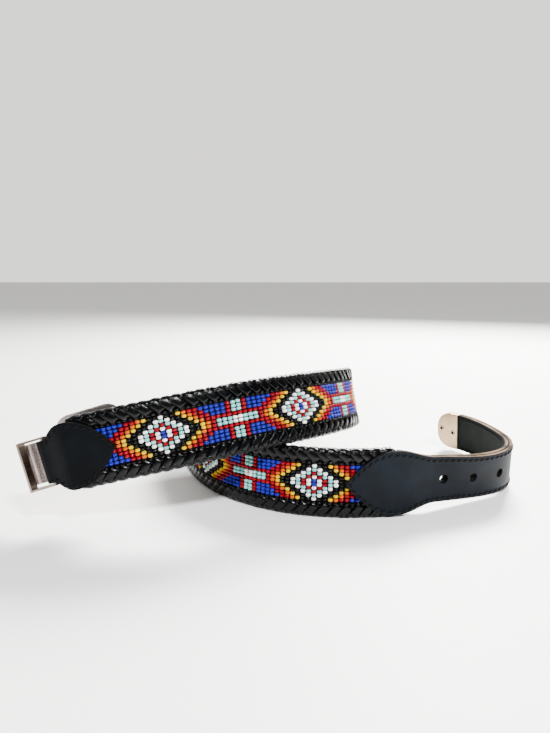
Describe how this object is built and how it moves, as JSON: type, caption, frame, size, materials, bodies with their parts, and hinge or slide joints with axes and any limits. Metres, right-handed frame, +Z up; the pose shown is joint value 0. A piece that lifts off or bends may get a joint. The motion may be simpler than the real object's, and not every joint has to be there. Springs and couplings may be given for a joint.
{
  "type": "beaded belt",
  "caption": "Black leather belt with a beaded panel, laced edges and a metal tip, unfastened and coiled on its edge, with a hinged bail and buckle plate.",
  "frame": {"origin": "on the surface under the middle of the coiled belt's box", "axes": "+Z up, -Y towards the viewer, +X towards the billet's turn"},
  "size_m": [0.3118, 0.1878, 0.0805],
  "materials": {
    "black_leather": "smooth, slight sheen",
    "black_lace": "glossy",
    "lining_leather": "matte, raw brown edge",
    "glass_beads": "opaque glossy beads in a lozenge pattern",
    "silver_metal": "polished",
    "dark_steel": "polished, slightly worn"
  },
  "bodies": {
    "belt": {"body_strap": "black_leather", "beaded_panel": "glass_beads", "upper_lacing": "black_lace", "lower_lacing": "black_lace", "buckle_chape": "black_leather", "billet": "black_leather", "billet_lining": "lining_leather", "tip_cap": "silver_metal", "tip_rivet_1": "silver_metal", "tip_rivet_2": "silver_metal"},
    "bail": {"buckle_bail": "dark_steel"},
    "plate": {"buckle_plate": "silver_metal"}
  },
  "joints": [
    {"name": "bail_hinge", "type": "hinge", "parent": "belt", "child": "bail", "pos_m": [-0.13467, -0.08542, 0.03826], "axis": [-0.2855, 0.1189, 0.951], "range_deg": [0, 90]},
    {"name": "plate_hinge", "type": "hinge", "parent": "bail", "child": "plate", "pos_m": [-0.15012, -0.07848, 0.03275], "axis": [-0.2855, 0.1189, 0.951], "range_deg": [0, 150]}
  ]
}
